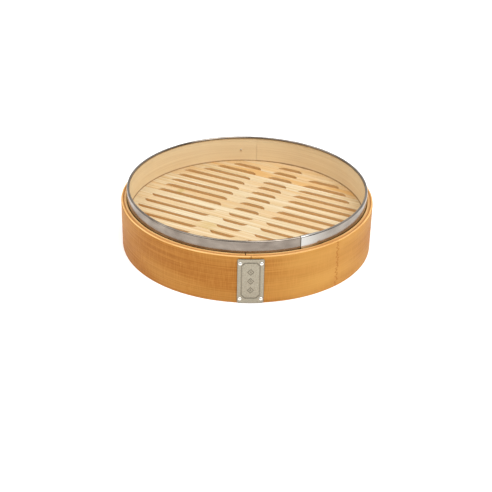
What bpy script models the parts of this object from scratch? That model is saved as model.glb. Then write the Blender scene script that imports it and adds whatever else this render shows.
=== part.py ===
"""One tier of a round bamboo steamer basket, as separate solids.

The outer hoop is two plies of bent bamboo. A thinner inner hoop stands proud of it, so that the
next tier or the lid nests over it, and carries a folded steel band on its rim. The floor is a row
of bamboo slats whose notched edges make the steam slots. Two battens under the slats carry them.

Metres, +Z up. The origin is on the hoops' axis, on the surface that the tier stands on, and the
nameplate is at the front, towards -Y. Azimuths are in degrees from the front, positive towards +X.
"""

import math

import bmesh
import bpy
from mathutils import Matrix, Vector

# Driving dimensions.
OUTER_RADIUS = 0.1525
TOTAL_HEIGHT = 0.075
OUTER_HOOP_HEIGHT = 0.060
INNER_DEPTH = 0.035

# Gaps that keep neighbouring pieces apart.
GAP = 0.0003
SHEET_GAP = 0.00025

# Bends are made of straight facets, all of which start at multiples of this azimuth.
FACET = 3.75
# Sides of a round rod, and steps in a quarter turn or in a notch's rounded end.
ROD_SIDES = 14
QUARTER_STEPS = 3
NOTCH_STEPS = 4
RIM_STEP = math.radians(5)

# Outer hoop.
OUTER_PLY_THICKNESS = 0.0031
INNER_PLY_THICKNESS = 0.0035
OUTER_PLY_DROP = 0.0005
PLY_EDGE_ROUND = 0.0016
PLY_CHAMFER = 0.0004
PLY_SEAM = 0.0008
# The inner ply is shaved thinner at its foot, so the rim below goes in whichever way round it is.
BORE_HEIGHT = 0.0160
BORE_STEP = 0.0005
OUTER_PLY_SEAM_AZIMUTH = 2.2
INNER_PLY_SEAM_AZIMUTH = -0.1

# Inner hoop: its strip's ends lap over each other at the back.
INNER_HOOP_RADIUS = 0.1428
INNER_HOOP_THICKNESS = 0.0018
INNER_HOOP_BOTTOM = 0.017
INNER_HOOP_CHAMFER = 0.00025
LAP_AZIMUTH = 175.4
LAP_ARC = 18.5
LAP_STEP = 0.0002
LAP_END_CLEARANCE = 0.3
LAP_TAPER = 0.25

# Steel band, folded over the inner hoop's top edge.
SHEET = 0.00035
BAND_OUTER_LEG = 0.0175
BAND_LIP = 0.0022
BAND_LAP_AZIMUTH = 24.7
BAND_LAP_ARC = 6.0
BAND_LAP_RAMP = 2.0
BAND_LAP_RISE = SHEET + 0.0002
PLY_GIVE = 0.0005
PLY_GIVE_MARGIN = 2.0
PLY_GIVE_RAMP = 1.0

# Floor: a disc cut into slats that run at an angle to X. Slots lie in three columns.
FLOOR_RADIUS = 0.1422
FLOOR_THICKNESS = 0.007
SLAT_ANGLE = -27.0
SLAT_PITCH = 0.0164
KEY_SLAT_EDGES = (-0.0191, -0.0070)
SLATS_BEHIND = 9
SLATS_IN_FRONT = 8
NOTCH_DEPTH_BEHIND = 0.0069
NOTCH_DEPTH_IN_FRONT = 0.0056
NOTCH_END_RADIUS = 0.0085
NOTCH_REACH = 0.1235
NOTCH_RIM_MARGIN = 0.0165
NOTCH_LEAST_MARGIN = 0.0045
NARROWEST_NOTCHED_SLAT = 0.010
MIDDLE_NOTCH = (-0.0148, 0.0192)
OUTER_NOTCH_STARTS = (-0.0328, 0.0360)
COLUMN_LEAN = 0.027

# Battens under the floor's solid bridges, held by pins through the hoops.
BATTEN_WIDTH = 0.015
BATTEN_HEIGHT = 0.012
PIN_RADIUS = 0.0015
PIN_DEPTH = 0.014

# Nameplate and its nails.
PLATE_AZIMUTH = 2.2
PLATE_WIDTH = 0.030
PLATE_BOTTOM = 0.0005
PLATE_HEIGHT = 0.0565
PLATE_THICKNESS = 0.0008
PLATE_CORNER = 0.0025
NAIL_SPREAD = 0.0237
NAIL_RISE = 0.045
NAIL_HEAD_RADIUS = 0.00225
NAIL_HEAD_HEIGHT = 0.0012
NAIL_SHANK_RADIUS = 0.0008
NAIL_SHANK_LENGTH = 0.0058
LAP_NAIL_AZIMUTH = 183.8
LAP_NAIL_HEIGHT = 0.0550
LAP_NAIL_HEAD_RADIUS = 0.0016
LAP_NAIL_HEAD_HEIGHT = 0.0004

# Sizes that follow from those above.
FLOOR_TOP = TOTAL_HEIGHT - INNER_DEPTH
FLOOR_BOTTOM = FLOOR_TOP - FLOOR_THICKNESS
BATTEN_TOP = FLOOR_BOTTOM - GAP
BATTEN_MIDDLE = BATTEN_TOP - BATTEN_HEIGHT / 2
OUTER_PLY_INNER_RADIUS = OUTER_RADIUS - OUTER_PLY_THICKNESS
INNER_PLY_OUTER_RADIUS = OUTER_PLY_INNER_RADIUS - GAP
INNER_PLY_INNER_RADIUS = INNER_PLY_OUTER_RADIUS - INNER_PLY_THICKNESS
INNER_HOOP_OUTER_RADIUS = INNER_HOOP_RADIUS + INNER_HOOP_THICKNESS
BAND_TOP = TOTAL_HEIGHT - BAND_LAP_RISE
INNER_HOOP_TOP = BAND_TOP - SHEET - SHEET_GAP
BAND_RADIUS = INNER_HOOP_OUTER_RADIUS + SHEET_GAP + SHEET
LIP_RADIUS = INNER_HOOP_RADIUS - LAP_STEP - GAP - SHEET
PLATE_INNER_RADIUS = OUTER_RADIUS + GAP
PLATE_OUTER_RADIUS = PLATE_INNER_RADIUS + PLATE_THICKNESS


def clear_scene():
    for thing in list(bpy.data.objects):
        bpy.data.objects.remove(thing)


def make_material(name, colour, roughness, metallic=0.0):
    material = bpy.data.materials.new(name)
    material.use_nodes = True
    shader = material.node_tree.nodes["Principled BSDF"]
    shader.inputs["Base Color"].default_value = (*colour, 1.0)
    shader.inputs["Roughness"].default_value = roughness
    shader.inputs["Metallic"].default_value = metallic
    return material


def at(radius, azimuth, z):
    """The point at this radius, azimuth in degrees and height."""
    turn = math.radians(azimuth)
    return Vector((radius * math.sin(turn), -radius * math.cos(turn), z))


def degrees_of(length, radius):
    return math.degrees(length / radius)


def add_object(name, shape, material=None, smooth=True):
    """Closes off a bmesh as a named object with outward faces."""
    bmesh.ops.recalc_face_normals(shape, faces=shape.faces)
    mesh = bpy.data.meshes.new(name)
    shape.to_mesh(mesh)
    shape.free()
    if smooth:
        mesh.shade_smooth()
        mesh.set_sharp_from_angle(angle=math.radians(30))
    piece = bpy.data.objects.new(name, mesh)
    bpy.context.scene.collection.objects.link(piece)
    if material:
        mesh.materials.append(material)
    return piece


def make_cutter(name, shape):
    cutter = add_object(name, shape, smooth=False)
    cutter.hide_render = True
    cutter.display_type = "WIRE"
    return cutter


def cut(piece, cutter):
    boolean = piece.modifiers.new(cutter.name, "BOOLEAN")
    boolean.operation = "DIFFERENCE"
    boolean.solver = "EXACT"
    boolean.object = cutter


def add_loft(shape, rings):
    """Skins rings of points, all with the same count, and caps both ends."""
    loops = [[shape.verts.new(point) for point in ring] for ring in rings]
    for near, far in zip(loops, loops[1:]):
        for i in range(len(near)):
            j = (i + 1) % len(near)
            shape.faces.new((near[i], near[j], far[j], far[i]))
    shape.faces.new(loops[0])
    shape.faces.new(loops[-1])


def facet_azimuths(start, end, extra=()):
    """Azimuths from start to end, by way of every multiple of FACET and the extra ones."""
    first = math.floor(start / FACET) + 1
    last = math.ceil(end / FACET) - 1
    middle = [k * FACET for k in range(first, last + 1)]
    too_close = FACET / 20
    kept = [a for a in middle if all(abs(a - e) > too_close for e in (start, end, *extra))]
    return sorted([start, end, *extra, *kept])


def bent_strip(name, azimuths, section_at, material):
    """A strip bent round the axis. section_at gives its (radius, z) outline at an azimuth."""
    shape = bmesh.new()
    add_loft(shape, [[at(r, a, z) for r, z in section_at(a)] for a in azimuths])
    return add_object(name, shape, material)


def add_rod(shape, profile, start, direction):
    """A turned shape. The profile is (distance along the axis, radius), from end to end."""
    turn = direction.to_track_quat("Z", "Y").to_matrix()
    step = math.tau / ROD_SIDES
    circle = [Vector((math.cos(i * step), math.sin(i * step), 0)) for i in range(ROD_SIDES)]
    add_loft(shape, [[start + turn @ (r * c + Vector((0, 0, x))) for c in circle] for x, r in profile])


def extruded(name, outline, bottom, top, material):
    """A flat outline, given in the floor's own axes, raised from bottom to top."""
    turn = Matrix.Rotation(math.radians(SLAT_ANGLE), 3, "Z")
    shape = bmesh.new()
    add_loft(shape, [[turn @ Vector((u, w, z)) for u, w in outline] for z in (bottom, top)])
    return add_object(name, shape, material, smooth=False)


def quarter_turn(steps):
    """Angles from 0 to 90 degrees, in radians."""
    return [math.tau / 4 * k / steps for k in range(steps + 1)]


def outer_ply_section(azimuth):
    """A tall strip with a rounded outer top edge and a chamfer where the plies meet."""
    top = OUTER_HOOP_HEIGHT - OUTER_PLY_DROP
    radius, z = OUTER_RADIUS - PLY_EDGE_ROUND, top - PLY_EDGE_ROUND
    bends = quarter_turn(QUARTER_STEPS)
    rounded = [(radius + PLY_EDGE_ROUND * math.cos(b), z + PLY_EDGE_ROUND * math.sin(b)) for b in bends]
    return [
        (OUTER_PLY_INNER_RADIUS, 0),
        (OUTER_RADIUS, 0),
        *rounded,
        (OUTER_PLY_INNER_RADIUS + PLY_CHAMFER, top),
        (OUTER_PLY_INNER_RADIUS, top - PLY_CHAMFER),
    ]


def chamfered_section(inner, outer, bottom, top, chamfer):
    """A tall strip with both top edges chamfered."""
    return [
        (inner, bottom),
        (outer, bottom),
        (outer, top - chamfer),
        (outer - chamfer, top),
        (inner + chamfer, top),
        (inner, top - chamfer),
    ]


def ply_give_spans():
    """The azimuths where the inner ply starts and stops giving way to the band's lap."""
    start = BAND_LAP_AZIMUTH - PLY_GIVE_MARGIN
    end = BAND_LAP_AZIMUTH + BAND_LAP_ARC + 2 * BAND_LAP_RAMP + PLY_GIVE_MARGIN
    return start, end


def inner_ply_section(azimuth):
    """A tall strip with the bore at its foot, pressed thinner where it meets the band's lap."""
    start, end = ply_give_spans()
    share = min(1.0, max(0.0, min(azimuth - start, end - azimuth) / PLY_GIVE_RAMP))
    inner = INNER_PLY_INNER_RADIUS + PLY_GIVE * share
    bore = INNER_PLY_INNER_RADIUS + BORE_STEP
    foot, *rest = chamfered_section(inner, INNER_PLY_OUTER_RADIUS, 0, OUTER_HOOP_HEIGHT, PLY_CHAMFER)
    return [(bore, foot[1]), *rest, (inner, BORE_HEIGHT + BORE_STEP), (bore, BORE_HEIGHT)]


def make_ply(name, seam_azimuth, radius, section_at, material, extra=()):
    """One ply: a strip bent once round, whose ends nearly meet at its seam."""
    half_seam = degrees_of(PLY_SEAM / 2, radius)
    azimuths = facet_azimuths(seam_azimuth + half_seam, seam_azimuth + 360 - half_seam, extra)
    return bent_strip(name, azimuths, section_at, material)


def inner_hoop_section(azimuth):
    """The strip's full thickness, except in the lap, where each end is thinned to half of it."""
    travel = azimuth - LAP_AZIMUTH
    inner, outer = INNER_HOOP_RADIUS, INNER_HOOP_OUTER_RADIUS
    middle = (inner + outer) / 2
    if travel <= LAP_ARC:
        inner -= LAP_STEP * (1 - travel / LAP_ARC)
        outer = middle - GAP / 2
    if travel >= 360 - LAP_TAPER:
        inner = middle + GAP / 2
    return chamfered_section(inner, outer, INNER_HOOP_BOTTOM, INNER_HOOP_TOP, INNER_HOOP_CHAMFER)


def make_inner_hoop(material):
    """One strip from its inner free end, once round and on under itself to its outer free end."""
    full_starts = LAP_AZIMUTH + LAP_ARC + LAP_TAPER
    thins_again = LAP_AZIMUTH + 360 - LAP_TAPER
    end = LAP_AZIMUTH + 360 + LAP_ARC - LAP_END_CLEARANCE
    extra = (LAP_AZIMUTH + LAP_ARC, full_starts, thins_again - LAP_TAPER, thins_again)
    azimuths = facet_azimuths(LAP_AZIMUTH, end, extra)
    return bent_strip("inner_hoop", azimuths, inner_hoop_section, material)


def band_section(azimuth):
    """A folded channel: a deep outer leg, the fold over the rim, and a short inner lip."""
    travel = azimuth - BAND_LAP_AZIMUTH
    ramp_left = (BAND_LAP_ARC + 2 * BAND_LAP_RAMP - travel) / BAND_LAP_RAMP
    rise = BAND_LAP_RISE * min(1.0, max(0.0, ramp_left))
    outer = BAND_RADIUS + rise
    lip = LIP_RADIUS - rise
    top = BAND_TOP + rise
    bottom = BAND_TOP - BAND_OUTER_LEG
    lip_bottom = BAND_TOP - BAND_LIP
    return [
        (outer, bottom),
        (outer, top - SHEET),
        (outer - SHEET, top),
        (lip + SHEET, top),
        (lip, top - SHEET),
        (lip, lip_bottom),
        (lip + SHEET, lip_bottom),
        (lip + SHEET, top - SHEET),
        (outer - SHEET, top - SHEET),
        (outer - SHEET, bottom),
    ]


def make_rim_band(material):
    """The band starts over its own other end, steps down past it, and ends underneath."""
    start = BAND_LAP_AZIMUTH
    steps_down = start + BAND_LAP_ARC + BAND_LAP_RAMP
    extra = (steps_down, steps_down + BAND_LAP_RAMP)
    azimuths = facet_azimuths(start, start + 360 + BAND_LAP_ARC, extra)
    return bent_strip("steel_rim_band", azimuths, band_section, material)


def half_chord(w):
    return math.sqrt(max(0.0, FLOOR_RADIUS**2 - w**2))


def notch_end_run(depth):
    """How far along the edge a notch's rounded end runs."""
    return math.sqrt(NOTCH_END_RADIUS**2 - (NOTCH_END_RADIUS - depth) ** 2)


def notch_spans(w, depth):
    """The (start, end) of each notch along an edge at w, from left to right. The long slats share
    one reach, and on the shorter ones the notches stop well short of the rim."""
    reach = NOTCH_REACH
    if half_chord(w) < NOTCH_REACH + NOTCH_LEAST_MARGIN:
        reach = half_chord(w) - NOTCH_RIM_MARGIN
    lean = -COLUMN_LEAN * w
    left, right = (start + lean for start in OUTER_NOTCH_STARTS)
    spans = [(-reach, left), tuple(u + lean for u in MIDDLE_NOTCH), (right, reach)]
    return [(start, end) for start, end in spans if end - start > 2 * notch_end_run(depth)]


def notch_points(start, end, w, inward, depth):
    """A notch from start to end: an arc at each end and a straight run between them."""
    middle = w - inward * (NOTCH_END_RADIUS - depth)
    end_run = notch_end_run(depth)
    steepest = math.asin(end_run / NOTCH_END_RADIUS)
    swing = [steepest * k / NOTCH_STEPS for k in range(NOTCH_STEPS, -1, -1)]
    arc = [(NOTCH_END_RADIUS * math.sin(s), middle + inward * NOTCH_END_RADIUS * math.cos(s))
           for s in swing]
    entry = [(start + end_run - x, y) for x, y in arc]
    leave = [(end - end_run + x, y) for x, y in reversed(arc)]
    return entry + leave


def edge_points(w, inward, depth):
    """A slat's straight edge from left to right, with its notches if they have a depth."""
    points = [(-half_chord(w), w)]
    if depth:
        for start, end in notch_spans(w, depth):
            points += notch_points(start, end, w, inward, depth)
    return [*points, (half_chord(w), w)]


def rim_arc(near, far):
    """Points on the floor's rim on the +u side, between an edge at near and an edge at far."""
    start, end = (math.asin(max(-1.0, min(1.0, w / FLOOR_RADIUS))) for w in (near, far))
    steps = max(1, math.ceil(abs(end - start) / RIM_STEP))
    turns = [start + (end - start) * k / steps for k in range(1, steps)]
    return [(FLOOR_RADIUS * math.cos(t), FLOOR_RADIUS * math.sin(t)) for t in turns]


def slat_outline(near, far, near_depth, far_depth):
    """A slat between two edges, with how deep the notches in each of them are. The rim closes the
    slat where an edge lies beyond the disc."""
    right = rim_arc(near, far)
    left = [(-u, w) for u, w in reversed(right)]
    near_edge = edge_points(near, 1, near_depth)
    far_edge = edge_points(far, -1, far_depth)[::-1]
    if near <= -FLOOR_RADIUS:
        near_edge = [(0.0, -FLOOR_RADIUS)]
    if far >= FLOOR_RADIUS:
        far_edge = [(0.0, FLOOR_RADIUS)]
    return near_edge + right + far_edge + left


def joint_before(k):
    """Where the joint in front of slat k lies. Slat 0 is the narrower key slat."""
    front, back = KEY_SLAT_EDGES
    return front + k * SLAT_PITCH if k <= 0 else back + (k - 1) * SLAT_PITCH


def make_floor(material):
    """The slats, from the front to the back. The key slat has no notches. Each of the others is
    notched along the edge that faces the key slat."""
    for k in range(-SLATS_IN_FRONT, SLATS_BEHIND + 1):
        near = max(joint_before(k) + GAP / 2, -FLOOR_RADIUS)
        far = joint_before(k + 1) - GAP / 2 if k < SLATS_BEHIND else FLOOR_RADIUS
        near_depth = NOTCH_DEPTH_BEHIND if k > 0 else 0.0
        far_depth = NOTCH_DEPTH_IN_FRONT if k < 0 else 0.0
        if far - near < NARROWEST_NOTCHED_SLAT:
            near_depth = far_depth = 0.0
        outline = slat_outline(near, far, near_depth, far_depth)
        extruded(f"floor_slat_{k + SLATS_IN_FRONT + 1:02d}", outline, FLOOR_BOTTOM, FLOOR_TOP, material)


def bridge_centres():
    left, right = OUTER_NOTCH_STARTS
    return {"left": (left + MIDDLE_NOTCH[0]) / 2, "right": (right + MIDDLE_NOTCH[1]) / 2}


def lean_line_end(u, side):
    """Where a line that starts at u and leans with the columns meets the floor's rim."""
    a = 1 + COLUMN_LEAN**2
    b = -2 * u * COLUMN_LEAN
    c = u**2 - FLOOR_RADIUS**2
    w = (-b + side * math.sqrt(b**2 - 4 * a * c)) / (2 * a)
    return (u - COLUMN_LEAN * w, w)


def make_battens(material):
    """A batten under each line of bridges, its ends close to the inner hoop."""
    battens = []
    for side, centre in bridge_centres().items():
        edges = [centre - BATTEN_WIDTH / 2, centre, centre + BATTEN_WIDTH / 2]
        outline = [lean_line_end(u, -1) for u in edges] + [lean_line_end(u, 1) for u in edges[::-1]]
        battens.append(
            extruded(f"batten_{side}", outline, BATTEN_TOP - BATTEN_HEIGHT, BATTEN_TOP, material)
        )
    return battens


def pin_lines():
    """For each pin, its inner end and its direction outwards, along its batten."""
    turn = Matrix.Rotation(math.radians(SLAT_ANGLE), 3, "Z")
    lines = {}
    for batten, centre in bridge_centres().items():
        for end, side in (("front", -1), ("back", 1)):
            u, w = lean_line_end(centre, side)
            outwards = turn @ Vector((-COLUMN_LEAN * side, side, 0)).normalized()
            tip = turn @ Vector((u, w, BATTEN_MIDDLE)) - PIN_DEPTH * outwards
            lines[f"{batten}_{end}"] = (tip, outwards)
    return lines


def pin_length(tip, outwards):
    """How far a pin runs from its tip until it lies just under the outer ply."""
    flat_tip = Vector((tip.x, tip.y, 0))
    along = flat_tip.dot(outwards)
    reach = INNER_PLY_OUTER_RADIUS - GAP
    return -along + math.sqrt(along**2 - flat_tip.length_squared + reach**2)


def make_pins(material):
    """Plain round pins, and one cutter for all their holes."""
    holes = bmesh.new()
    for name, (tip, outwards) in pin_lines().items():
        length = pin_length(tip, outwards)
        shape = bmesh.new()
        add_rod(shape, [(0, PIN_RADIUS), (length, PIN_RADIUS)], tip, outwards)
        add_object(f"batten_pin_{name}", shape, material)
        hole = PIN_RADIUS + GAP
        add_rod(holes, [(-GAP, hole), (length + 3 * GAP, hole)], tip, outwards)
    return make_cutter("pin_holes", holes)


def plate_section(azimuth):
    """The plate's upright section, shorter within its rounded corners."""
    half_width = PLATE_WIDTH / 2
    across = abs(math.radians(azimuth - PLATE_AZIMUTH)) * PLATE_INNER_RADIUS
    into_corner = max(0.0, across - (half_width - PLATE_CORNER)) / PLATE_CORNER
    trim = PLATE_CORNER * (1 - math.sqrt(max(0.0, 1 - into_corner**2)))
    low = PLATE_BOTTOM + trim
    high = PLATE_BOTTOM + PLATE_HEIGHT - trim
    return [
        (PLATE_INNER_RADIUS, low),
        (PLATE_OUTER_RADIUS, low),
        (PLATE_OUTER_RADIUS, high),
        (PLATE_INNER_RADIUS, high),
    ]


def make_nameplate(material):
    half_width = degrees_of(PLATE_WIDTH / 2, PLATE_INNER_RADIUS)
    corner = degrees_of(PLATE_CORNER, PLATE_INNER_RADIUS)
    flat = half_width - corner
    rounded = [flat + corner * math.sin(t) for t in quarter_turn(QUARTER_STEPS + 1)]
    azimuths = facet_azimuths(-flat, flat, [*(-a for a in rounded[1:]), *rounded[1:]])
    return bent_strip("nameplate", [PLATE_AZIMUTH + a for a in azimuths], plate_section, material)


def nail_profile(head_radius, head_height, shank_length):
    """A domed head above zero and a straight shank below it."""
    dome_turns = quarter_turn(QUARTER_STEPS + 1)[:-1]
    dome = [(head_height * math.sin(t), head_radius * math.cos(t)) for t in dome_turns]
    shank = [(-shank_length, NAIL_SHANK_RADIUS), (0, NAIL_SHANK_RADIUS)]
    return shank + dome


def make_nails(material):
    """The nameplate's four nails, and one cutter for their holes."""
    profile = nail_profile(NAIL_HEAD_RADIUS, NAIL_HEAD_HEIGHT, NAIL_SHANK_LENGTH)
    hole = NAIL_SHANK_RADIUS + GAP
    middle = PLATE_BOTTOM + PLATE_HEIGHT / 2
    spread = degrees_of(NAIL_SPREAD / 2, PLATE_OUTER_RADIUS)
    holes = bmesh.new()
    for side, turn in (("left", -spread), ("right", spread)):
        for level, z in (("bottom", middle - NAIL_RISE / 2), ("top", middle + NAIL_RISE / 2)):
            outwards = at(1, PLATE_AZIMUTH + turn, 0)
            seat = outwards * (PLATE_OUTER_RADIUS + GAP) + Vector((0, 0, z))
            shape = bmesh.new()
            add_rod(shape, profile, seat, outwards)
            add_object(f"nameplate_nail_{level}_{side}", shape, material)
            add_rod(holes, [(-NAIL_SHANK_LENGTH - GAP, hole), (GAP, hole)], seat, outwards)
    return make_cutter("nail_holes", holes)


def make_lap_nail(material):
    """The nail through the inner hoop's lap, its head on the inside, and its hole."""
    inwards = at(-1, LAP_NAIL_AZIMUTH, 0)
    lap_face = INNER_HOOP_RADIUS - LAP_STEP - GAP
    seat = at(lap_face, LAP_NAIL_AZIMUTH, LAP_NAIL_HEIGHT)
    length = INNER_HOOP_OUTER_RADIUS - lap_face + GAP
    shape = bmesh.new()
    add_rod(shape, nail_profile(LAP_NAIL_HEAD_RADIUS, LAP_NAIL_HEAD_HEIGHT, length), seat, inwards)
    add_object("hoop_lap_nail", shape, material)
    hole = bmesh.new()
    radius = NAIL_SHANK_RADIUS + GAP
    add_rod(hole, [(-length - GAP, radius), (GAP, radius)], seat, inwards)
    return make_cutter("lap_nail_hole", hole)


def build():
    clear_scene()
    outer_bamboo = make_material("carbonised_bamboo_outer", (0.62, 0.33, 0.11), 0.45)
    ply_bamboo = make_material("carbonised_bamboo_inner", (0.66, 0.38, 0.15), 0.5)
    hoop_bamboo = make_material("pale_bamboo_hoop", (0.72, 0.50, 0.26), 0.5)
    slat_bamboo = make_material("pale_bamboo_slat", (0.85, 0.68, 0.42), 0.55)
    batten_bamboo = make_material("bamboo_batten", (0.70, 0.48, 0.24), 0.6)
    pin_bamboo = make_material("bamboo_pin", (0.60, 0.40, 0.19), 0.6)
    band_steel = make_material("stainless_band", (0.62, 0.60, 0.57), 0.3, 1.0)
    plate_steel = make_material("stainless_nameplate", (0.55, 0.53, 0.49), 0.35, 1.0)
    nail_steel = make_material("bright_steel_nail", (0.75, 0.74, 0.72), 0.22, 1.0)

    outer_ply = make_ply(
        "outer_hoop_outer_ply", OUTER_PLY_SEAM_AZIMUTH, OUTER_RADIUS, outer_ply_section, outer_bamboo
    )
    start, end = ply_give_spans()
    inner_ply = make_ply(
        "outer_hoop_inner_ply",
        INNER_PLY_SEAM_AZIMUTH,
        INNER_PLY_OUTER_RADIUS,
        inner_ply_section,
        ply_bamboo,
        (start, start + PLY_GIVE_RAMP, end - PLY_GIVE_RAMP, end),
    )
    inner_hoop = make_inner_hoop(hoop_bamboo)
    make_rim_band(band_steel)
    make_floor(slat_bamboo)
    battens = make_battens(batten_bamboo)
    nameplate = make_nameplate(plate_steel)

    pin_holes = make_pins(pin_bamboo)
    nail_holes = make_nails(nail_steel)
    lap_nail_hole = make_lap_nail(nail_steel)
    for piece in (inner_ply, inner_hoop, *battens):
        cut(piece, pin_holes)
    for piece in (outer_ply, inner_ply, nameplate):
        cut(piece, nail_holes)
    cut(inner_hoop, lap_nail_hole)


build()
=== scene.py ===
import math

import bmesh
import bpy
import numpy as np
from mathutils import Matrix, Vector


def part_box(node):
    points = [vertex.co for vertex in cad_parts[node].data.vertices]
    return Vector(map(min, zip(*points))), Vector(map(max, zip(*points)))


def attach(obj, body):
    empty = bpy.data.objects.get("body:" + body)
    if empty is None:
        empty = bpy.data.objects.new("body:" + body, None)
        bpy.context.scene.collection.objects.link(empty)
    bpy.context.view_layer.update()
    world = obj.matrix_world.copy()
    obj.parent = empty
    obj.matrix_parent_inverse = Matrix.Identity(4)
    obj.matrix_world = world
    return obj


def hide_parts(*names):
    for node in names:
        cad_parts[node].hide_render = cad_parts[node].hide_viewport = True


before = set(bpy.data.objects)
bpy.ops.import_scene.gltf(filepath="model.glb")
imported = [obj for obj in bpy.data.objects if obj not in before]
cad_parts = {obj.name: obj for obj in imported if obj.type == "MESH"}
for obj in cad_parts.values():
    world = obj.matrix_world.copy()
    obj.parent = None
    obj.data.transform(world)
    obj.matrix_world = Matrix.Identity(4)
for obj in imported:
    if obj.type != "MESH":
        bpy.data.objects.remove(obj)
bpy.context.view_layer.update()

MM = 0.001

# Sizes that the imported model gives, in metres.
OUTER_PLY_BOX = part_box("outer_hoop_outer_ply")
INNER_PLY_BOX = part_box("outer_hoop_inner_ply")
INNER_HOOP_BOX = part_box("inner_hoop")
BAND_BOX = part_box("steel_rim_band")
PLATE_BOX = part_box("nameplate")
SLAT_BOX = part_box("floor_slat_09")
BATTEN_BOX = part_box("batten_left")
OUTER_RADIUS = OUTER_PLY_BOX[1].y
OUTER_PLY_TOP = OUTER_PLY_BOX[1].z
INNER_PLY_RADIUS = INNER_PLY_BOX[1].y
INNER_PLY_TOP = INNER_PLY_BOX[1].z
HOOP_OUTER_RADIUS = INNER_HOOP_BOX[1].y
HOOP_BOTTOM = INNER_HOOP_BOX[0].z
HOOP_TOP = INNER_HOOP_BOX[1].z
BAND_RADIUS = BAND_BOX[1].y
BAND_BOTTOM = BAND_BOX[0].z
TOTAL_HEIGHT = BAND_BOX[1].z
FLOOR_TOP = SLAT_BOX[1].z
FLOOR_BOTTOM = SLAT_BOX[0].z
BATTEN_TOP = BATTEN_BOX[1].z
BATTEN_BOTTOM = BATTEN_BOX[0].z

# The design's own values, the same as the solids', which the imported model's boxes can't give.
GAP = 0.3 * MM
OUTER_PLY_THICKNESS = 3.1 * MM
INNER_PLY_THICKNESS = 3.5 * MM
OUTER_PLY_SEAM = 2.2
INNER_PLY_SEAM = -0.1
SEAM_WIDTH = 0.8 * MM
HOOP_THICKNESS = 1.8 * MM
LAP_AZIMUTH = 175.4
LAP_ARC = 18.5
LAP_STEP = 0.2 * MM
LAP_TAPER = 0.05
LAP_END_CLEARANCE = 0.3
SHEET = 0.35 * MM
BAND_LIP = 2.2 * MM
BAND_LAP_AZIMUTH = 24.7
BAND_LAP_ARC = 6.0
BAND_LAP_RAMP = 2.0
BAND_LAP_RISE = SHEET + 0.2 * MM
BORE_HEIGHT = 16 * MM
BORE_STEP = 0.5 * MM
PLY_GIVE = 0.5 * MM
PLY_GIVE_MARGIN = 2.0
PLY_GIVE_RAMP = 1.0
FLOOR_RADIUS = 142.2 * MM
SLAT_ANGLE = math.radians(-27)
SLAT_PITCH = 16.4 * MM
KEY_SLAT_EDGES = (-19.1 * MM, -7.0 * MM)
SLATS_BEHIND = 9
SLATS_IN_FRONT = 8
NOTCH_DEPTH_BEHIND = 6.9 * MM
NOTCH_DEPTH_IN_FRONT = 5.6 * MM
NOTCH_END_RADIUS = 8.5 * MM
NOTCH_REACH = 123.5 * MM
NOTCH_RIM_MARGIN = 16.5 * MM
NOTCH_LEAST_MARGIN = 4.5 * MM
MIDDLE_NOTCH = (-14.8 * MM, 19.2 * MM)
OUTER_NOTCH_STARTS = (-32.8 * MM, 36.0 * MM)
COLUMN_LEAN = 0.027
NARROWEST_NOTCHED_SLAT = 10 * MM
BATTEN_WIDTH = 15 * MM
PLATE_AZIMUTH = 2.2
PLATE_WIDTH = 30 * MM
PLATE_CORNER = 2.5 * MM
PLATE_THICKNESS = 0.8 * MM
NAIL_SPREAD = 23.7 * MM
NAIL_RISE = 45 * MM
LAP_NAIL_AZIMUTH = 183.8
LAP_NAIL_HEIGHT = 55 * MM

# Culm nodes: where the bamboo's own joints cross the outer ply, as (azimuth, strength).
CULM_NODES = ((43.0, 0.65), (-24.8, 0.15))
# A painted pool of light makes the outer ply paler over about a hand's length right of its front,
# where the key lamp faces it.
LIT_PATCH_AZIMUTH = 38
LIT_PATCH_REACH = 75 * MM
LIT_PATCH_STRENGTH = 0.5
# A painted highlight on the band around its lapped end, as (how much, how far), and a painted
# shadow in its step.
PAINTED_HIGHLIGHT = ((0.8, 24 * MM), (0.2, 130 * MM))
PAINTED_SHADOW_REACH = 0.7 * MM
# How far the hoops and the band stray inwards from round, and the band's length from bend to bend.
HOOP_UNEVENNESS = 0.2 * MM
BAND_UNEVENNESS = 0.14 * MM
BAND_UNEVENNESS_LENGTH = 22 * MM
# The corners of the strips' sections: inner bottom, outer bottom, outer top, inner top.
OUTER_PLY_CORNERS = (0.4 * MM, 0.6 * MM, 1.5 * MM, 0.7 * MM)
INNER_PLY_CORNERS = (0.5 * MM, 0.4 * MM, 0.7 * MM, 1.0 * MM)
HOOP_CORNER = 0.2 * MM
# A batten's section: how far its underside is crowned, where its sides start, its top corners.
BATTEN_CROWN = 1.6 * MM
BATTEN_SIDE = 2.4 * MM
BATTEN_CORNER = 0.5 * MM
# The plate's embossing sits a little high on it. Its lozenges stand a pitch apart.
EMBOSSING_LIFT = 1.0 * MM
LOZENGE_PITCH = 11.5 * MM
LOZENGE_HALF_HEIGHT = 3.6 * MM


# ---------------------------------------------------------------- nodes, for trees and materials


def add(tree, kind, inputs=None, out=0, stops=None, **settings):
    """Adds a node with its settings, input values and links, and returns one of its outputs. A
    value that starts with # is an sRGB colour."""
    node = tree.nodes.new(kind)
    for name, value in settings.items():
        setattr(node, name, value)
    if stops:
        ramp = node.color_ramp
        while len(ramp.elements) < len(stops):
            ramp.elements.new(0.5)
        for element, (position, text) in zip(ramp.elements, stops):
            element.position = position
            element.color = colour(text)
    for name, value in (inputs or {}).items():
        if isinstance(value, bpy.types.NodeSocket):
            tree.links.new(value, node.inputs[name])
        elif isinstance(value, str) and value.startswith("#"):
            node.inputs[name].default_value = colour(value)
        else:
            node.inputs[name].default_value = value
    return node.outputs[out] if node.outputs else node


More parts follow.
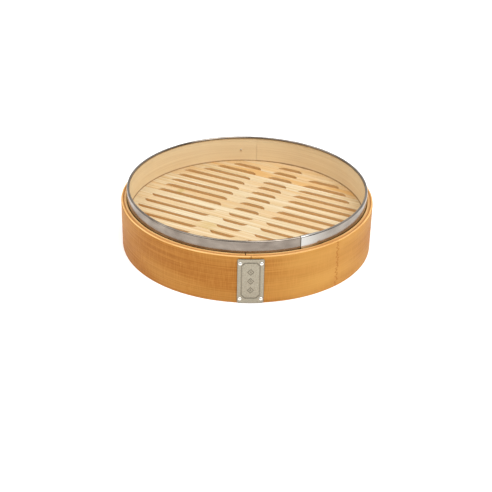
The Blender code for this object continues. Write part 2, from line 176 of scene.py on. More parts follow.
def work_out(tree, known, steps):
    """Adds a Math node for each step, given as (name, operation, terms). A term is a number, an
    output, or the name of something that is known already. Every result is known from then on."""
    for name, operation, *terms in steps:
        values = [known[term] if isinstance(term, str) else term for term in terms]
        known[name] = add(tree, "ShaderNodeMath", dict(enumerate(values)), operation=operation)
    return known


def new_tree(name, sockets):
    """A Geometry Nodes tree with named inputs, and a dictionary of them by name."""
    tree = bpy.data.node_groups.new(name, "GeometryNodeTree")
    for label, kind in sockets.items():
        tree.interface.new_socket(label, in_out="INPUT", socket_type="NodeSocket" + kind)
    tree.interface.new_socket("Result", in_out="OUTPUT", socket_type="NodeSocketGeometry")
    group = tree.nodes.new("NodeGroupInput")
    return tree, {label: group.outputs[label] for label in sockets}


def close_tree(tree, geometry, material):
    """Ends a tree in Realize Instances and Set Material."""
    real = add(tree, "GeometryNodeRealizeInstances", {"Geometry": geometry})
    done = add(tree, "GeometryNodeSetMaterial", {"Geometry": real, "Material": material})
    add(tree, "NodeGroupOutput", {"Result": done})
    return tree


def run_tree(name, blank, tree, values):
    """Runs a tree on a blank mesh and keeps the result as a plain mesh object."""
    carrier = add_piece(name + "_blank", blank)
    modifier = carrier.modifiers.new("nodes", "NODES")
    modifier.node_group = tree
    for item in tree.interface.items_tree:
        if item.in_out == "INPUT" and item.name in values:
            modifier[item.identifier] = values[item.name]
    bpy.context.view_layer.update()
    depsgraph = bpy.context.evaluated_depsgraph_get()
    mesh = bpy.data.meshes.new_from_object(
        carrier.evaluated_get(depsgraph), preserve_all_data_layers=True, depsgraph=depsgraph
    )
    carrier.modifiers.remove(modifier)
    bpy.data.objects.remove(carrier)
    return add_piece(name, mesh)


def add_piece(name, mesh):
    mesh.name = name
    piece = bpy.data.objects.new(name, mesh)
    bpy.context.scene.collection.objects.link(piece)
    return piece


def place(piece, slot, *replaced):
    """Every piece rides on the one body."""
    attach(piece, "root")
    if replaced:
        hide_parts(*replaced)
    return piece


def nodes_named(start):
    return [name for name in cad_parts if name.startswith(start)]


def smooth_above(mesh, degrees):
    mesh.shade_smooth()
    mesh.set_sharp_from_angle(angle=math.radians(degrees))


def skin(shape, loops, caps=()):
    """Joins each ring of vertices to the next one with quads, and fills the rings named as caps."""
    for near, far in zip(loops, loops[1:]):
        for i in range(len(near)):
            j = (i + 1) % len(near)
            shape.faces.new((near[i], near[j], far[j], far[i]))
    for cap in caps:
        shape.faces.new(loops[cap])


def keep_shape(shape, name):
    """Turns a shape's faces outwards and keeps it as a mesh."""
    bmesh.ops.recalc_face_normals(shape, faces=shape.faces)
    mesh = bpy.data.meshes.new(name)
    shape.to_mesh(mesh)
    shape.free()
    return mesh


def mark(mesh, name, values, kind="FLOAT"):
    """Keeps a number, or a vector's three numbers, for each point of a mesh."""
    attribute = mesh.attributes.new(name, kind, "POINT")
    attribute.data.foreach_set("value" if kind == "FLOAT" else "vector", values)


def bell(distance, reach):
    """1 at no distance, fading smoothly over about this reach."""
    return math.exp(-((distance / reach) ** 2))


# ---------------------------------------------------------------- materials


def colour(text):
    """An sRGB hex value as linear RGBA."""
    values = [int(text[i : i + 2], 16) / 255 for i in (1, 3, 5)]
    return (*(v / 12.92 if v <= 0.04045 else ((v + 0.055) / 1.055) ** 2.4 for v in values), 1.0)


def new_material(name, paint):
    """A material whose nodes are the ones that paint adds to its empty tree."""
    material = bpy.data.materials.new(name)
    material.use_nodes = True
    material.node_tree.nodes.clear()
    paint(material.node_tree)
    return material


def surface(tree, bump=None, **inputs):
    """A Principled surface. Sockets are named in lower case with underscores. A bump has a height,
    a strength and a distance."""
    if bump:
        values = dict(zip(("Height", "Strength", "Distance"), bump))
        inputs["normal"] = add(tree, "ShaderNodeBump", values)
    named = {name.replace("_", " ").title().replace("Ior", "IOR"): value
             for name, value in inputs.items()}
    shader = add(tree, "ShaderNodeBsdfPrincipled", named)
    add(tree, "ShaderNodeOutputMaterial", {"Surface": shader})


def fibre_noise(tree, grain, length, width, detail=2.0, shift=0.0):
    """Noise drawn out along the grain, in patches about this long and this wide."""
    stretch = (1 / length, 1 / width, 1 / width)
    stretched = add(tree, "ShaderNodeVectorMath", {0: grain, 1: stretch}, operation="MULTIPLY")
    moved = add(tree, "ShaderNodeVectorMath", {0: stretched, 1: (shift,) * 3}, operation="ADD")
    return add(tree, "ShaderNodeTexNoise", {"Vector": moved, "Scale": 1.0, "Detail": detail})


def spread(tree, value, low, high, to_low=0.0, to_high=1.0):
    """Stretches a value from low..high to another range, smoothly and clamped."""
    inputs = {"Value": value, "From Min": low, "From Max": high,
              "To Min": to_low, "To Max": to_high}
    return add(tree, "ShaderNodeMapRange", inputs, interpolation_type="SMOOTHSTEP")


def blend(tree, share, below, above, how="MIX"):
    """Mixes two colours, or a colour into another by a blend type."""
    inputs = {"Factor": share, "A": below, "B": above}
    return add(tree, "ShaderNodeMix", inputs, out="Result", data_type="RGBA", blend_type=how)


def grain_parts(tree, *names):
    """The grain attribute, its parts through the thickness and up, and more attributes by name."""
    grain = add(tree, "ShaderNodeAttribute", out="Vector", attribute_name="grain")
    _, depth, height = add(tree, "ShaderNodeSeparateXYZ", {"Vector": grain}).node.outputs
    more = [add(tree, "ShaderNodeAttribute", out="Fac", attribute_name=name) for name in names]
    return grain, depth, height, *more


def toasted_bamboo(tree):
    """Carbonised bamboo strip, planed and oiled: an orange brown with fine level fibre lines, faint
    upright marks from the scraper, and a darker ragged line where a culm node was planed flat."""
    grain, depth, height, pale, from_node, strength = grain_parts(
        tree, "pale", "from_node", "node_strength")
    # Fibre bundles are about 0.5 mm wide. The scraper left a mark about every 1.5 mm.
    fine = fibre_noise(tree, grain, 45 * MM, 0.5 * MM, 3.0)
    coarse = fibre_noise(tree, grain, 120 * MM, 1.5 * MM, 2.0, shift=7.3)
    broad = fibre_noise(tree, grain, 90 * MM, 25 * MM, 1.0, shift=3.1)
    scraped = fibre_noise(tree, grain, 0.9 * MM, 14 * MM, 1.0, shift=5.9)
    base = add(tree, "ShaderNodeValToRGB", {"Fac": spread(tree, coarse, 0.3, 0.7)},
               stops=[(0.0, "#9D611F"), (0.5, "#A86C28"), (1.0, "#B37731")])
    lined = blend(tree, spread(tree, fine, 0.35, 0.7, 0.0, 0.4), base, "#8F5212")
    marked = blend(tree, spread(tree, scraped, 0.4, 0.75, 0.0, 0.3), lined, "#C88B42")
    # Random broad patches, and a painted pool of light where the key lamp faces the ply, make it
    # paler.
    patches = add(tree, "ShaderNodeMath", {0: spread(tree, broad, 0.4, 0.7, 0.0, 0.25), 1: pale},
                  operation="ADD")
    toned = blend(tree, patches, marked, "#CC994D")
    # The culm node's line wanders by up to 2 mm, and its fibres end in a row of short teeth.
    teeth = fibre_noise(tree, grain, 400 * MM, 2.2 * MM, 2.0, shift=1.3)
    wander = spread(tree, teeth, 0.25, 0.75, -2.2 * MM, 2.2 * MM)
    away = add(tree, "ShaderNodeMath", {0: from_node, 1: wander}, operation="ADD")
    off_line = add(tree, "ShaderNodeMath", {0: away}, operation="ABSOLUTE")
    line = add(tree, "ShaderNodeMath", {0: spread(tree, off_line, 0.3 * MM, 1.9 * MM, 1.0, 0.0),
                                        1: strength}, operation="MULTIPLY")
    scarred = blend(tree, line, toned, "#A05C1A")
    edge = spread(tree, height, OUTER_PLY_TOP - 1.1 * MM, OUTER_PLY_TOP - 0.3 * MM)
    finished = blend(tree, edge, scarred, cut_edge_colour(tree, grain, depth))
    bump = (fine, 0.3, 0.08 * MM)
    surface(tree, base_color=finished, bump=bump, specular_ior_level=0.15,
            roughness=spread(tree, fine, 0.3, 0.7, 0.5, 0.65))


def cut_edge_colour(tree, grain, depth):
    """The long edge of a bamboo strip, where the fibres are cut along: pale, with brown lines, and
    stained brown towards the joint between the two strips."""
    lines = fibre_noise(tree, grain, 45 * MM, 0.5 * MM, 2.0, shift=11.7)
    cut = add(tree, "ShaderNodeValToRGB", {"Fac": lines},
              stops=[(0.33, "#C48A45"), (0.5, "#E6B471"), (0.7, "#F2C98B")])
    known = work_out(tree, {}, (("past", "SUBTRACT", depth, INNER_PLY_RADIUS + GAP / 2),
                                ("from_joint", "ABSOLUTE", "past")))
    stain = spread(tree, known["from_joint"], 0.5 * MM, 1.9 * MM, 0.75, 0.0)
    return blend(tree, stain, cut, "#BC7A35")


def ply_bamboo(tree):
    """The outer hoop's inner strip. Its cut top edge shows, and its inner face from below."""
    grain, depth, height = grain_parts(tree)
    fine = fibre_noise(tree, grain, 60 * MM, 0.5 * MM, 3.0, shift=2.2)
    face = add(tree, "ShaderNodeValToRGB", {"Fac": fine},
               stops=[(0.3, "#B98148"), (0.7, "#DBA96C")])
    edge = spread(tree, height, INNER_PLY_TOP - 1.0 * MM, INNER_PLY_TOP - 0.3 * MM)
    finished = blend(tree, edge, face, cut_edge_colour(tree, grain, depth))
    bump = (fine, 0.35, 0.1 * MM)
    surface(tree, base_color=finished, bump=bump, roughness=0.52)


def pale_hoop_bamboo(tree):
    """A thin shaved bamboo strip, unstained: straw coloured and satin, with faint level fibres, and
    painted shade where the floor meets it."""
    grain, _, height = grain_parts(tree)
    fine = fibre_noise(tree, grain, 50 * MM, 0.5 * MM, 3.0)
    coarse = fibre_noise(tree, grain, 200 * MM, 2.5 * MM, 2.0, shift=5.0)
    broad = fibre_noise(tree, grain, 130 * MM, 70 * MM, 1.0, shift=9.0)
    base = add(tree, "ShaderNodeValToRGB", {"Fac": coarse},
               stops=[(0.3, "#E2C89C"), (0.7, "#EBD4AB")])
    lined = blend(tree, spread(tree, fine, 0.4, 0.75, 0.0, 0.2), base, "#C59C64")
    toned = blend(tree, spread(tree, broad, 0.35, 0.65, 0.0, 0.35), lined, "#F0DDB6")
    # Painted shade in the corner where the floor meets the hoop.
    painted_corner_shade = spread(tree, height, FLOOR_TOP + 1.8 * MM, FLOOR_TOP + 0.3 * MM, 0.0, 0.7)
    darkened = blend(tree, painted_corner_shade, toned, "#8F5620")
    bump = (fine, 0.3, 0.08 * MM)
    surface(tree, base_color=darkened, bump=bump, roughness=spread(tree, fine, 0.3, 0.7, 0.45, 0.58))


def planed_slat_bamboo(tree):
    """Planed bamboo slats, left bare: cream with long fibres, some slats honey coloured, a little
    browner on the sawn walls of the notches, and olive where a culm node was planed off."""
    grain, _, height, honey, node = grain_parts(tree, "honey", "culm_node")
    fine = fibre_noise(tree, grain, 60 * MM, 0.7 * MM, 3.0)
    coarse = fibre_noise(tree, grain, 160 * MM, 2.5 * MM, 2.0, shift=4.0)
    broad = fibre_noise(tree, grain, 60 * MM, 9 * MM, 1.0, shift=8.0)
    base = add(tree, "ShaderNodeValToRGB", {"Fac": coarse},
               stops=[(0.3, "#C1A87B"), (0.5, "#CDBA95"), (0.7, "#DACFB3")])
    warmth = add(tree, "ShaderNodeMath", {0: honey, 1: spread(tree, broad, 0.3, 0.6, 0.35, 1.0)},
                 operation="MULTIPLY")
    warm = blend(tree, warmth, base, "#C99A58")
    lined = blend(tree, spread(tree, fine, 0.45, 0.8, 0.0, 0.6), warm, "#B28148")
    patchy = add(tree, "ShaderNodeMath", {0: node, 1: spread(tree, fine, 0.3, 0.6, 0.5, 1.0)},
                 operation="MULTIPLY")
    marked = blend(tree, patchy, lined, "#B49A58")
    wall = spread(tree, height, FLOOR_TOP - 0.3 * MM, FLOOR_TOP - 1.5 * MM, 0.0, 0.9)
    finished = blend(tree, wall, marked, "#CF9F62")
    bump = (fine, 0.3, 0.08 * MM)
    surface(tree, base_color=finished, bump=bump, roughness=0.55)


def batten_bamboo(tree):
    """Split bamboo battens, bare: the outer skin faces down, darker and smoother than the slats."""
    grain, *_ = grain_parts(tree)
    fine = fibre_noise(tree, grain, 60 * MM, 0.6 * MM, 3.0, shift=6.0)
    coarse = fibre_noise(tree, grain, 150 * MM, 3.0 * MM, 2.0, shift=1.0)
    base = add(tree, "ShaderNodeValToRGB", {"Fac": coarse},
               stops=[(0.3, "#B68A4E"), (0.7, "#D4AC6E")])
    lined = blend(tree, spread(tree, fine, 0.45, 0.75, 0.0, 0.5), base, "#8F6431")
    bump = (fine, 0.4, 0.1 * MM)
    surface(tree, base_color=lined, bump=bump, roughness=0.55)


def whittled_pin_bamboo(tree):
    """Whittled bamboo pins: brown end grain with dark fibre dots."""
    here = add(tree, "ShaderNodeTexCoord", out="Object")
    dots = add(tree, "ShaderNodeTexVoronoi", {"Vector": here, "Scale": 1 / (0.5 * MM)},
               out="Distance")
    base = add(tree, "ShaderNodeValToRGB", {"Fac": dots},
               stops=[(0.1, "#7A5226"), (0.4, "#B98B50")])
    bump = (dots, 0.3, 0.1 * MM)
    surface(tree, base_color=base, bump=bump, roughness=0.6)


def rolled_steel(tree):
    """Cold-rolled stainless strip: satin, with fine lines along it and faint cloudy wear, rubbed
    smooth on its fold. A painted highlight brightens it round its lapped end, and a painted shadow
    lies in the step there."""
    grain, _, height, painted_highlight, painted_shadow = grain_parts(tree, "painted_highlight", "painted_shadow")
    lines = fibre_noise(tree, grain, 30 * MM, 0.25 * MM, 2.0)
    clouds = fibre_noise(tree, grain, 22 * MM, 9 * MM, 2.0, shift=4.0)
    base = add(tree, "ShaderNodeValToRGB", {"Fac": clouds},
               stops=[(0.3, "#746A61"), (0.7, "#93897F")])
    # A painted highlight brightens the band near its lapped end.
    with_painted_highlight = blend(tree, painted_highlight, base, "#BBB9B5")
    # A painted shadow darkens the step where the lapped end stands proud.
    shadowed = blend(tree, painted_shadow, with_painted_highlight, "#2A2520")
    satin = spread(tree, lines, 0.3, 0.7, 0.17, 0.24)
    fold = spread(tree, height, TOTAL_HEIGHT - 3.2 * MM, TOTAL_HEIGHT - 2.0 * MM)
    smooth = add(tree, "ShaderNodeMix", {"Factor": fold, "A": satin, "B": 0.1})
    bump = (lines, 0.08, 0.03 * MM)
    surface(tree, base_color=shadowed, metallic=1.0, bump=bump, roughness=smooth)


def embossed_steel(tree):
    """Thin embossed stainless plate: matt, a little yellow, with painted shade on the relief's
    steep sides.
    """
    grain, _, _, slope = grain_parts(tree, "slope")
    speckle = fibre_noise(tree, grain, 1.2 * MM, 1.2 * MM, 3.0)
    base = blend(tree, spread(tree, speckle, 0.35, 0.7), "#938B7B", "#A8A190")
    # Painted shade on the relief's steep sides.
    painted_relief_shade = blend(tree, spread(tree, slope, 0.08, 0.45, 0.0, 0.7), base, "#5A5243")
    bump = (speckle, 0.15, 0.05 * MM)
    surface(tree, base_color=painted_relief_shade, metallic=1.0, bump=bump,
            roughness=spread(tree, speckle, 0.3, 0.7, 0.32, 0.44))


def bright_nail_steel(tree):
    """Tumbled steel nails: bright domes with a few fine scuffs."""
    here = add(tree, "ShaderNodeTexCoord", out="Object")
    scuffs = add(tree, "ShaderNodeTexNoise",
                 {"Vector": here, "Scale": 1 / (0.8 * MM), "Detail": 3.0})
    surface(tree, base_color="#E4E2DC", metallic=1.0,
            roughness=spread(tree, scuffs, 0.3, 0.7, 0.16, 0.3))


def floor_paper(tree):
    """The studio's seamless white paper: matt, with a faint fibre."""
    here = add(tree, "ShaderNodeTexCoord", out="Object")
    fibre = add(tree, "ShaderNodeTexNoise", {"Vector": here, "Scale": 1 / (2 * MM), "Detail": 2.0})
    base = blend(tree, fibre, "#F8F8F7", "#FDFDFD")
    surface(tree, base_color=base, roughness=0.9, emission_color="#FFFFFF", emission_strength=0.2)


# ---------------------------------------------------------------- bent strips


def bar_blank(name, lengths, section_at):
    """A straight bar of (depth, height) sections, one at each length, closed at both ends."""
    shape = bmesh.new()
    loops = [[shape.verts.new((x, d, h)) for d, h in section_at(x)] for x in lengths]
    skin(shape, loops, caps=(0, -1))
    return keep_shape(shape, name)


def even_lengths(start, end, step, extra=()):
    """Lengths from start to end about a step apart, and extra ones where detail needs them."""
    count = max(2, round((end - start) / step) + 1)
    places = np.concatenate([np.linspace(start, end, count), np.array(list(extra), float)])
    places = np.unique(np.clip(places, start, end))
    keep = np.concatenate([[True], np.diff(places) > step / 40])
    return places[keep]


def rounded(inner, outer, bottom, top, radii, steps=3, rows=1):
    """A strip's section with rounded corners, from the inner bottom corner round. radii gives the
    four corners' radii in that order. rows divides the outer and inner faces."""
    corners = (((inner, bottom), 1, 1, 180), ((outer, bottom), -1, 1, 270),
               ((outer, top), -1, -1, 0), ((inner, top), 1, -1, 90))
    points = []
    for ((x, y), dx, dy, turn), r in zip(corners, radii):
        for k in range(steps + 1):
            a = math.radians(turn + 90 * k / steps)
            points.append((x + dx * r + r * math.cos(a), y + dy * r + r * math.sin(a)))
    if rows > 1:
        points = divide_run(points, 2 * steps + 1, rows)
        points = divide_run(points, len(points) - 1, rows)
    return points


def divide_run(points, index, rows):
    """Divides the straight run that follows points[index] into rows."""
    start, end = points[index], points[(index + 1) % len(points)]
    new = [tuple(s + (e - s) * k / rows for s, e in zip(start, end)) for k in range(1, rows)]
    return points[: index + 1] + new + points[index + 1 :]


def bend_tree():
    """Bends a straight bar round the axis. The bar's x is its length, y its distance from the axis
    and z its height. It keeps the straight place as the grain attribute, so patterns follow it."""
    tree, given = new_tree("bend_round_the_axis", {
        "Blank": "Geometry", "Start azimuth": "Float", "Bend radius": "Float",
        "Unevenness": "Float", "Unevenness length": "Float", "Seed": "Float",
        "Grain shift": "Float", "Material": "Material"})
    here = add(tree, "GeometryNodeInputPosition")
    shift = add(tree, "ShaderNodeCombineXYZ", {0: given["Grain shift"]})
    grain = add(tree, "ShaderNodeVectorMath", {0: here, 1: shift}, operation="ADD")
    kept = add(tree, "GeometryNodeStoreNamedAttribute",
               {"Geometry": given["Blank"], "Name": "grain", "Value": grain},
               data_type="FLOAT_VECTOR", domain="POINT")
    x, y, z = add(tree, "ShaderNodeSeparateXYZ", {0: here}).node.outputs
    known = work_out(tree, {}, (
        ("turn", "DIVIDE", x, given["Bend radius"]),
        ("start", "RADIANS", given["Start azimuth"]),
        ("azimuth", "ADD", "start", "turn"),
        ("sine", "SINE", "azimuth"),
        ("cosine", "COSINE", "azimuth"),
        ("scale", "DIVIDE", given["Bend radius"], given["Unevenness length"])))
    # The unevenness is read on the circle, so that the same seed moves two strips together.
    ring = add(tree, "ShaderNodeCombineXYZ", {0: known["sine"], 1: known["cosine"]})
    noise = add(tree, "ShaderNodeTexNoise",
                {"Vector": ring, "W": given["Seed"], "Scale": known["scale"], "Detail": 1.0},
                noise_dimensions="4D")
    work_out(tree, known, (
        ("uneven", "MULTIPLY", noise, given["Unevenness"]),
        ("radius", "SUBTRACT", y, "uneven"),
        ("out_x", "MULTIPLY", "radius", "sine"),
        ("back_y", "MULTIPLY", "radius", "cosine"),
        ("out_y", "MULTIPLY", "back_y", -1.0)))
    bent_place = add(tree, "ShaderNodeCombineXYZ", {0: known["out_x"], 1: known["out_y"], 2: z})
    bent = add(tree, "GeometryNodeSetPosition", {"Geometry": kept, "Position": bent_place})
    # The straight bar's depth runs against the bent one's, which turns the faces inside out.
    turned = add(tree, "GeometryNodeFlipFaces", {"Mesh": bent})
    return close_tree(tree, turned, given["Material"])


def bend(name, blank, azimuth, radius, material, uneven=0.0, uneven_length=60 * MM, shift=0.0,
         sharp=35):
    piece = run_tree(name, blank, BEND, {
        "Start azimuth": azimuth, "Bend radius": radius, "Unevenness": uneven,
        "Unevenness length": uneven_length, "Seed": 4.0, "Grain shift": shift,
        "Material": material})
    smooth_above(piece.data, sharp)
    return piece


def arc_length(degrees, radius):
    return math.radians(degrees) * radius


def seamed_strip(seam, radius):
    """Where a strip that is bent once round starts, as an azimuth, and its length to its seam."""
    half_seam = math.degrees(SEAM_WIDTH / 2 / radius)
    return seam + half_seam, arc_length(360 - 2 * half_seam, radius)


def make_outer_ply():
    """The outer strip, with the culm nodes' lines in its outer face."""
    start, length = seamed_strip(OUTER_PLY_SEAM, OUTER_RADIUS)
    near_nodes = [arc_length((a - start) % 360, OUTER_RADIUS) + d * 0.4 * MM
                  for a, _ in CULM_NODES for d in range(-16, 17)]
    lengths = even_lengths(0, length, 2.6 * MM, near_nodes)
    inner = OUTER_RADIUS - OUTER_PLY_THICKNESS
    section = rounded(inner, OUTER_RADIUS, 0, OUTER_PLY_TOP, OUTER_PLY_CORNERS, steps=4, rows=12)

    def nearest_node(x):
        """The signed distance from the nearest culm node along the strip, and its strength."""
        aways = [(x - arc_length((a - start) % 360, OUTER_RADIUS), strength)
                 for a, strength in CULM_NODES]
        return min(aways, key=lambda pair: abs(pair[0]))

    def section_at(x):
        away, strength = nearest_node(x)
        sunk = (0.05 + 0.1 * strength * bell(away, 1.5 * MM)) * MM
        return [(d - sunk if d > OUTER_RADIUS - 0.2 * MM else d, h) for d, h in section]

    blank = bar_blank("outer_ply", lengths, section_at)
    places = [v.co.x for v in blank.vertices]
    mark(blank, "from_node", [nearest_node(x)[0] for x in places])
    mark(blank, "node_strength", [nearest_node(x)[1] for x in places])
    # A painted pool of light, centred where the key lamp faces the ply.
    middle = arc_length(LIT_PATCH_AZIMUTH - start, OUTER_RADIUS)
    mark(blank, "pale", [LIT_PATCH_STRENGTH * bell(x - middle, LIT_PATCH_REACH) for x in places])
    piece = bend("outer_hoop_outer_strip", blank, start, OUTER_RADIUS, TOASTED, HOOP_UNEVENNESS)
    return place(piece, "outer_ply_bamboo", "outer_hoop_outer_ply")


def make_inner_ply():
    """The inner strip, pressed thinner where it meets the band's lap, and shaved thinner at its
    foot, where the rim below goes in."""
    start, length = seamed_strip(INNER_PLY_SEAM, INNER_PLY_RADIUS)
    lengths = even_lengths(0, length, 2.6 * MM)
    give_start = BAND_LAP_AZIMUTH - PLY_GIVE_MARGIN
    give_end = BAND_LAP_AZIMUTH + BAND_LAP_ARC + 2 * BAND_LAP_RAMP + PLY_GIVE_MARGIN

    def section_at(x):
        azimuth = start + math.degrees(x / INNER_PLY_RADIUS)
        share = min(1.0, max(0.0, min(azimuth - give_start, give_end - azimuth) / PLY_GIVE_RAMP))
        inner = INNER_PLY_RADIUS - INNER_PLY_THICKNESS + PLY_GIVE * share
        bore = INNER_PLY_RADIUS - INNER_PLY_THICKNESS + BORE_STEP
        section = rounded(inner, INNER_PLY_RADIUS, 0, INNER_PLY_TOP, INNER_PLY_CORNERS, steps=4)
        shaved = [(d + bore - inner if d < inner + 1 * MM and h < BORE_HEIGHT else d, h)
                  for d, h in section]
        return [*shaved, (inner, BORE_HEIGHT + BORE_STEP), (bore, BORE_HEIGHT)]

    blank = bar_blank("inner_ply", lengths, section_at)
    piece = bend("outer_hoop_inner_strip", blank, start, INNER_PLY_RADIUS, PLY_EDGE,
                 HOOP_UNEVENNESS, shift=1.7)
    return place(piece, "inner_ply_bamboo", "outer_hoop_inner_ply")


def make_inner_hoop():
    """The thin hoop, whose two ends are shaved to half thickness and lapped at the back."""
    radius = HOOP_OUTER_RADIUS
    inner, outer = radius - HOOP_THICKNESS, radius
    middle = (inner + outer) / 2
    lap = arc_length(LAP_ARC, radius)
    once_round = arc_length(360, radius)
    taper = arc_length(LAP_TAPER, radius)

    def section_at(x):
        near, far = inner, outer
        if x <= lap:
            near -= LAP_STEP * (1 - x / lap)
            far = middle - GAP / 2
        if x >= once_round - taper:
            near = middle + GAP / 2
        crown = 0.35 * (far - near)
        corners = (HOOP_CORNER, HOOP_CORNER, crown, crown)
        return rounded(near, far, HOOP_BOTTOM, HOOP_TOP, corners, rows=3)

    end = once_round + lap - arc_length(LAP_END_CLEARANCE, radius)
    extra = (lap, lap + taper, once_round - 2 * taper, once_round - taper)
    blank = bar_blank("inner_hoop", even_lengths(0, end, 2.5 * MM, extra), section_at)
    piece = bend("inner_hoop_strip", blank, LAP_AZIMUTH, radius, PALE_HOOP, HOOP_UNEVENNESS,
                 shift=3.9)
    return place(piece, "hoop_bamboo", "inner_hoop")


def band_section(rise):
    """The folded channel: outer leg, round fold over the rim and inner lip."""
    outer = BAND_RADIUS + rise
    lip = HOOP_OUTER_RADIUS - HOOP_THICKNESS - LAP_STEP - GAP - SHEET - rise
    top = TOTAL_HEIGHT - BAND_LAP_RISE + rise
    lip_bottom = TOTAL_HEIGHT - BAND_LAP_RISE - BAND_LIP
    middle, fold = (outer + lip) / 2, (outer - lip) / 2
    arc = [math.radians(12 * k) for k in range(16)]
    outside = [(middle + fold * math.cos(a), top - fold + fold * math.sin(a)) for a in arc]
    thin = fold - SHEET
    inside = [(middle - thin * math.cos(a), top - fold + thin * math.sin(a)) for a in arc]
    return [(outer, BAND_BOTTOM), *outside, (lip, lip_bottom), (lip + SHEET, lip_bottom),
            *inside, (outer - SHEET, BAND_BOTTOM)]


def make_rim_band():
    """The band starts over its own other end, steps down past it, and ends underneath."""
    radius = BAND_RADIUS
    lap = arc_length(BAND_LAP_ARC + BAND_LAP_RAMP, radius)
    ramp = arc_length(BAND_LAP_RAMP, radius)
    end = arc_length(360 + BAND_LAP_ARC, radius)

    def section_at(x):
        share = min(1.0, max(0.0, (lap + ramp - x) / ramp))
        return band_section(BAND_LAP_RISE * share)

    # Just before the strip comes round to its own start, a painted shadow lies against the step.
    step = arc_length(360, radius)
    near_step = [step + d * 0.25 * MM for d in range(-6, 3)]
    extra = [lap + ramp * k / 4 for k in range(5)] + near_step
    blank = bar_blank("rim_band", even_lengths(0, end, 2.2 * MM, extra), section_at)
    places = [v.co.x for v in blank.vertices]
    # A painted highlight fades along the strip from its lapped end.
    mark(blank, "painted_highlight", [sum(share * bell(x, reach) for share, reach in PAINTED_HIGHLIGHT) for x in places])
    mark(blank, "painted_shadow", [bell(x - step, PAINTED_SHADOW_REACH) for x in places])
    piece = bend("rim_band_strip", blank, BAND_LAP_AZIMUTH, radius, STEEL_BAND, BAND_UNEVENNESS,
                 BAND_UNEVENNESS_LENGTH, shift=2.3)
    return place(piece, "band_steel", "steel_rim_band")


# ---------------------------------------------------------------- floor


def half_chord(w):
    return math.sqrt(max(0.0, FLOOR_RADIUS**2 - w**2))


def notch_marks(w):
    """Along an edge at w, where the three notches start and end, from left to right. The long slats
    share one reach, and on the shorter ones the notches stop well short of the rim."""
    reach = NOTCH_REACH
    if half_chord(w) < NOTCH_REACH + NOTCH_LEAST_MARGIN:
        reach = half_chord(w) - NOTCH_RIM_MARGIN
    lean = -COLUMN_LEAN * w
    left, right = (start + lean for start in OUTER_NOTCH_STARTS)
    # A notch too short to cut is left out: its two marks fall together.
    room = reach > max(-left, right) + 2 * NOTCH_END_RADIUS
    ends = (-reach, reach) if room else (left, right)
    return [ends[0], left, MIDDLE_NOTCH[0] + lean, MIDDLE_NOTCH[1] + lean, right, ends[1]]


def joint_before(k):
    """Where the joint in front of slat k lies. Slat 0 is the narrower key slat."""
    front, back = KEY_SLAT_EDGES
    return front + k * SLAT_PITCH if k <= 0 else back + (k - 1) * SLAT_PITCH


# How honey coloured each slat is, from the front to the back.
SLAT_HONEY = (0.3, 0.1, 0.2, 0.2, 0.25, 0.3, 0.0, 0.3, 0.05,
              0.45, 0.2, 0.2, 0.35, 0.45, 0.15, 0.9, 0.55, 0.5)

# Culm nodes in the slats, as slat: (where along it, how wide, how dark).
SLAT_NODES = {1: (-96 * MM, 4.5 * MM, 0.85), -3: (-20 * MM, 12 * MM, 0.55),
              6: (78 * MM, 3 * MM, 0.3)}


def slat_points():
    """One point for each slat, with its edges, notches and tone as attributes."""
    rng = np.random.default_rng(11)
    rows = []
    for k in range(-SLATS_IN_FRONT, SLATS_BEHIND + 1):
        near = max(joint_before(k) + GAP / 2, -FLOOR_RADIUS)
        far = joint_before(k + 1) - GAP / 2 if k < SLATS_BEHIND else FLOOR_RADIUS
        side = (k > 0) - (k < 0)
        if far - near < NARROWEST_NOTCHED_SLAT:
            side = 0
        marks = notch_marks(near if side > 0 else far)
        if not side:
            marks = [half_chord(far) * share for share in (-0.7, -0.4, -0.15, 0.15, 0.4, 0.7)]
        depth = NOTCH_DEPTH_BEHIND if side > 0 else NOTCH_DEPTH_IN_FRONT
        node_at, node_width, node_dark = SLAT_NODES.get(k, (0.0, 1 * MM, 0.0))
        rows.append({"near": near, "far": far, "side": side, "depth": depth,
                     "lift": -rng.uniform(0, 0.15) * MM, "slide": rng.uniform(0, 4),
                     "honey_here": SLAT_HONEY[k + SLATS_IN_FRONT],
                     "node_at": node_at, "node_width": node_width, "node_dark": node_dark,
                     **{f"mark_{i}": mark for i, mark in enumerate(marks)}})
    mesh = bpy.data.meshes.new("slat_points")
    mesh.from_pydata([(0, 0, 0)] * len(rows), [], [])
    for name in rows[0]:
        mark(mesh, name, [float(row[name]) for row in rows])
    return mesh


# Sections along a slat: from its end to the first notch, the notch, the next bridge, and so on.
SPAN_STEPS = (5, 44, 5, 30, 5, 44, 5)
SLAT_ROWS = (0.0, 0.1, 0.35, 0.62, 0.86, 1.0)
SLAT_EDGE = 0.35 * MM


def slat_ring():
    """A slat's section as (share across, inset from that edge, height): rounded at its top edges
    and square with a small chamfer at its bottom ones."""
    turns = [math.radians(a) for a in (0, 30, 60, 90)]
    near = [(0.0, SLAT_EDGE * (1 - math.cos(a)), -SLAT_EDGE * (1 - math.sin(a))) for a in turns]
    top = [(t, 0.0, 0.0) for t in SLAT_ROWS[1:-1]]
    far = [(1.0, -inset, z) for _, inset, z in reversed(near)]
    deep = FLOOR_BOTTOM - FLOOR_TOP
    under = [(t, 0.0, deep) for t in reversed(SLAT_ROWS[1:-1])]
    return near + top + far + [(1.0, 0.0, deep)] + under + [(0.0, 0.0, deep)]


